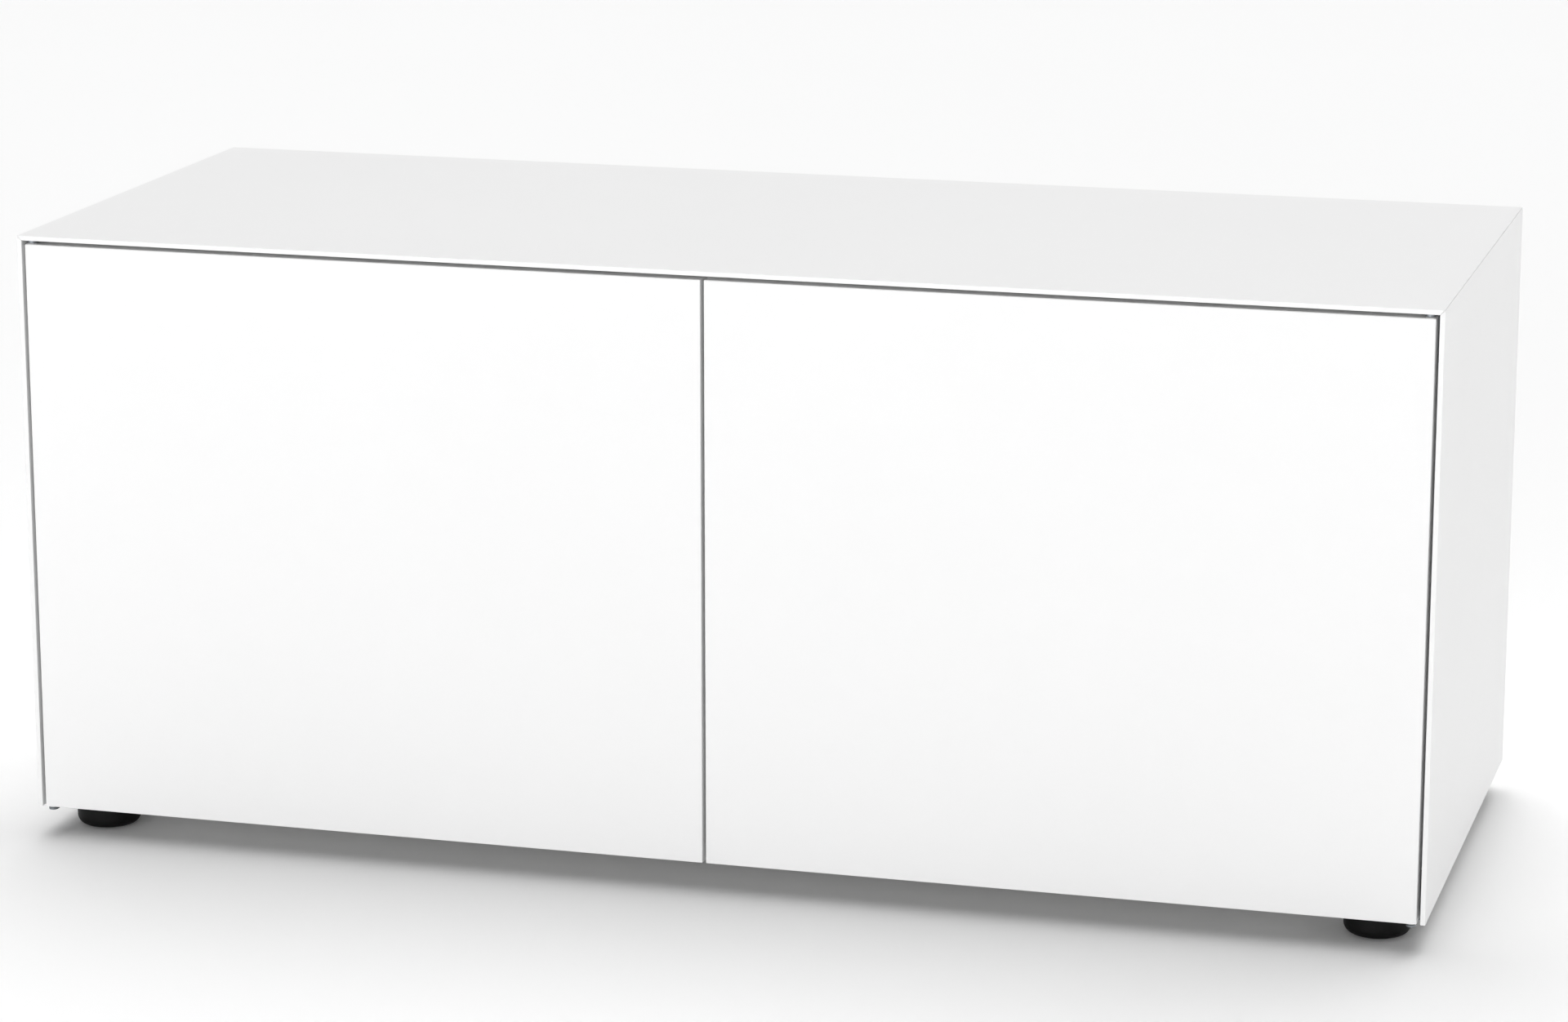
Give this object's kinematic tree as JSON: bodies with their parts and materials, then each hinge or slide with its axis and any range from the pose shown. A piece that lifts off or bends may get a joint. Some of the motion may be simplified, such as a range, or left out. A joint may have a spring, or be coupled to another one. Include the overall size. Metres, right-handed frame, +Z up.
{
  "type": "tv stand with doors",
  "caption": "Low white lacquered cabinet for a television, with inset handleless push-to-open doors, inner shelves, rear cable outlets and black adjustable feet.",
  "frame": {"origin": "on the floor, under the middle of the cabinet", "axes": "+X along the front (the longest side), -Y is the side with the doors, +Z up"},
  "size_m": [1.2, 0.48, 0.525],
  "materials": {
    "lacquered_board": "satin white lacquer on medium density fibreboard",
    "melamine_board": "matt white melamine on particle board",
    "zinc_plated_steel": "bright zinc plating",
    "black_plastic": "moulded black polypropylene with a fine grain",
    "grey_plastic": "moulded light grey acetal",
    "rubber_pad": "matt black rubber",
    "silicone": "translucent soft silicone"
  },
  "bodies": {
    "cabinet": {"top_panel": "lacquered_board", "bottom_panel": "melamine_board", "centre_divider": "melamine_board", "left_side_panel": "lacquered_board", "left_back_panel": "melamine_board", "left_shelf": "melamine_board", "left_cable_grommet": "grey_plastic", "left_shelf_peg_outer_front": "zinc_plated_steel", "left_shelf_peg_outer_rear": "zinc_plated_steel", "left_shelf_peg_inner_front": "zinc_plated_steel", "left_shelf_peg_inner_rear": "zinc_plated_steel", "left_lower_pivot_bracket": "zinc_plated_steel", "left_lower_pivot_pin": "zinc_plated_steel", "left_upper_pivot_bracket": "zinc_plated_steel", "left_upper_pivot_pin": "zinc_plated_steel", "left_latch_housing": "grey_plastic", "left_lower_bumper": "silicone", "left_upper_bumper": "silicone", "right_side_panel": "lacquered_board", "right_back_panel": "melamine_board", "right_shelf": "melamine_board", "right_cable_grommet": "grey_plastic", "right_shelf_peg_outer_front": "zinc_plated_steel", "right_shelf_peg_outer_rear": "zinc_plated_steel", "right_shelf_peg_inner_front": "zinc_plated_steel", "right_shelf_peg_inner_rear": "zinc_plated_steel", "right_lower_pivot_bracket": "zinc_plated_steel", "right_lower_pivot_pin": "zinc_plated_steel", "right_upper_pivot_bracket": "zinc_plated_steel", "right_upper_pivot_pin": "zinc_plated_steel", "right_latch_housing": "grey_plastic", "right_lower_bumper": "silicone", "right_upper_bumper": "silicone", "front_left_foot_nut": "zinc_plated_steel", "front_right_foot_nut": "zinc_plated_steel", "rear_left_foot_nut": "zinc_plated_steel", "rear_right_foot_nut": "zinc_plated_steel"},
    "left_door": {"left_door": "lacquered_board", "left_lower_pivot_bush": "grey_plastic", "left_upper_pivot_bush": "grey_plastic", "left_catch_plate": "zinc_plated_steel"},
    "left_latch_plunger": {"left_latch_plunger": "black_plastic"},
    "right_door": {"right_door": "lacquered_board", "right_lower_pivot_bush": "grey_plastic", "right_upper_pivot_bush": "grey_plastic", "right_catch_plate": "zinc_plated_steel"},
    "right_latch_plunger": {"right_latch_plunger": "black_plastic"},
    "front_left_foot": {"front_left_foot": "black_plastic", "front_left_foot_pad": "rubber_pad", "front_left_foot_stud": "zinc_plated_steel"},
    "front_right_foot": {"front_right_foot": "black_plastic", "front_right_foot_pad": "rubber_pad", "front_right_foot_stud": "zinc_plated_steel"},
    "rear_left_foot": {"rear_left_foot": "black_plastic", "rear_left_foot_pad": "rubber_pad", "rear_left_foot_stud": "zinc_plated_steel"},
    "rear_right_foot": {"rear_right_foot": "black_plastic", "rear_right_foot_pad": "rubber_pad", "rear_right_foot_stud": "zinc_plated_steel"}
  },
  "joints": [
    {"name": "left_door_swing", "type": "hinge", "parent": "cabinet", "child": "left_door", "pos_m": [-0.588, -0.235, 0.27], "axis": [0, 0, -1], "range_deg": [0, 105]},
    {"name": "right_door_swing", "type": "hinge", "parent": "cabinet", "child": "right_door", "pos_m": [0.588, -0.235, 0.27], "axis": [0, 0, 1], "range_deg": [0, 105]},
    {"name": "left_latch_travel", "type": "slide", "parent": "cabinet", "child": "left_latch_plunger", "axis": [0, -1, 0], "range_m": [0, 0.02]},
    {"name": "right_latch_travel", "type": "slide", "parent": "cabinet", "child": "right_latch_plunger", "axis": [0, -1, 0], "range_m": [0, 0.02]},
    {"name": "front_left_foot_height", "type": "slide", "parent": "cabinet", "child": "front_left_foot", "axis": [0, 0, -1], "range_m": [0, 0.01]},
    {"name": "front_right_foot_height", "type": "slide", "parent": "cabinet", "child": "front_right_foot", "axis": [0, 0, -1], "range_m": [0, 0.01]},
    {"name": "rear_left_foot_height", "type": "slide", "parent": "cabinet", "child": "rear_left_foot", "axis": [0, 0, -1], "range_m": [0, 0.01]},
    {"name": "rear_right_foot_height", "type": "slide", "parent": "cabinet", "child": "rear_right_foot", "axis": [0, 0, -1], "range_m": [0, 0.01]}
  ],
  "couplings": [
    {"joint": "left_latch_travel", "follows": "left_door_swing", "m_per_rad": 0.010913},
    {"joint": "right_latch_travel", "follows": "right_door_swing", "m_per_rad": 0.010913}
  ]
}
